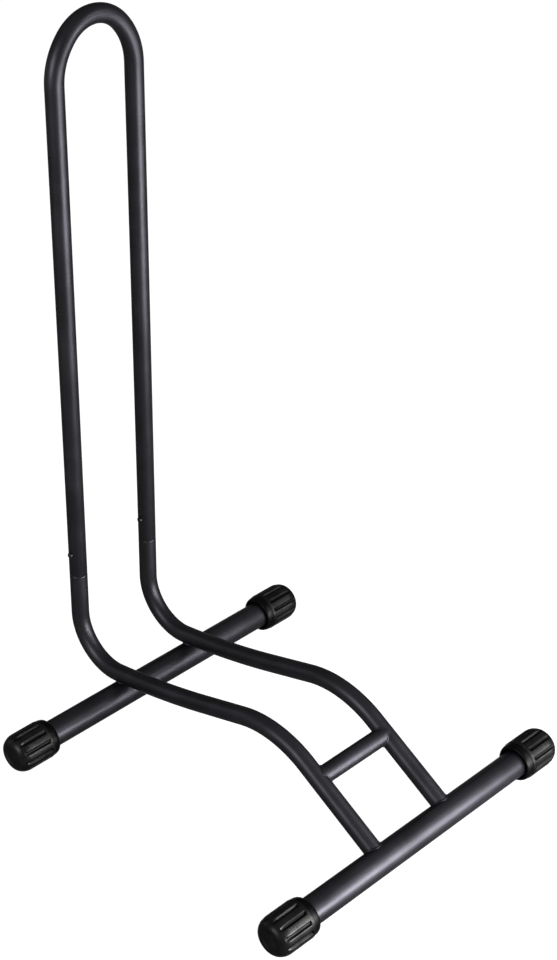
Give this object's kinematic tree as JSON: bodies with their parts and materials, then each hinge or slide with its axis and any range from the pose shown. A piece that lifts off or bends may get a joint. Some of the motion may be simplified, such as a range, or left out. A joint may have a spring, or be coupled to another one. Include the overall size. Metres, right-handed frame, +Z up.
{
  "type": "floor bike rack",
  "caption": "Free-standing floor rack for one bicycle: a tall bent-tube hoop on a low welded frame with ribbed rubber end caps.",
  "frame": {"origin": "centre of the footprint, on the floor", "axes": "+Z up, +Y towards the tall hoop at the back, +X to the right for someone pushing a bicycle in"},
  "size_m": [0.412, 0.4662, 0.751],
  "materials": {
    "powder_coat": "satin black powder coat",
    "rubber": "matte moulded black rubber",
    "blackened_steel": "blackened spring steel"
  },
  "bodies": {
    "frame": {"left_side_tube": "powder_coat", "right_side_tube": "powder_coat", "crossbar": "powder_coat", "front_foot_tube": "powder_coat", "rear_foot_tube": "powder_coat", "left_front_weld": "powder_coat", "right_front_weld": "powder_coat", "left_rear_weld": "powder_coat", "right_rear_weld": "powder_coat", "left_crossbar_weld": "powder_coat", "right_crossbar_weld": "powder_coat", "front_left_cap": "rubber", "front_right_cap": "rubber", "rear_left_cap": "rubber", "rear_right_cap": "rubber", "left_button_spring": "blackened_steel", "right_button_spring": "blackened_steel"},
    "hoop": {"upper_hoop": "powder_coat"},
    "left_button": {"left_snap_button": "blackened_steel"},
    "right_button": {"right_snap_button": "blackened_steel"}
  },
  "joints": [
    {"name": "hoop_lift", "type": "slide", "parent": "frame", "child": "hoop", "axis": [0, 0, 1], "range_m": [0, 0.2]},
    {"name": "left_button_press", "type": "slide", "parent": "frame", "child": "left_button", "axis": [1, 0, 0], "range_m": [0, 0.0046], "stiffness_N_per_m": 1500, "springref_m": -0.002, "deforming": ["left_button_spring"]},
    {"name": "right_button_press", "type": "slide", "parent": "frame", "child": "right_button", "axis": [1, 0, 0], "range_m": [0, 0.0046], "stiffness_N_per_m": 1500, "springref_m": -0.002, "deforming": ["right_button_spring"]}
  ]
}
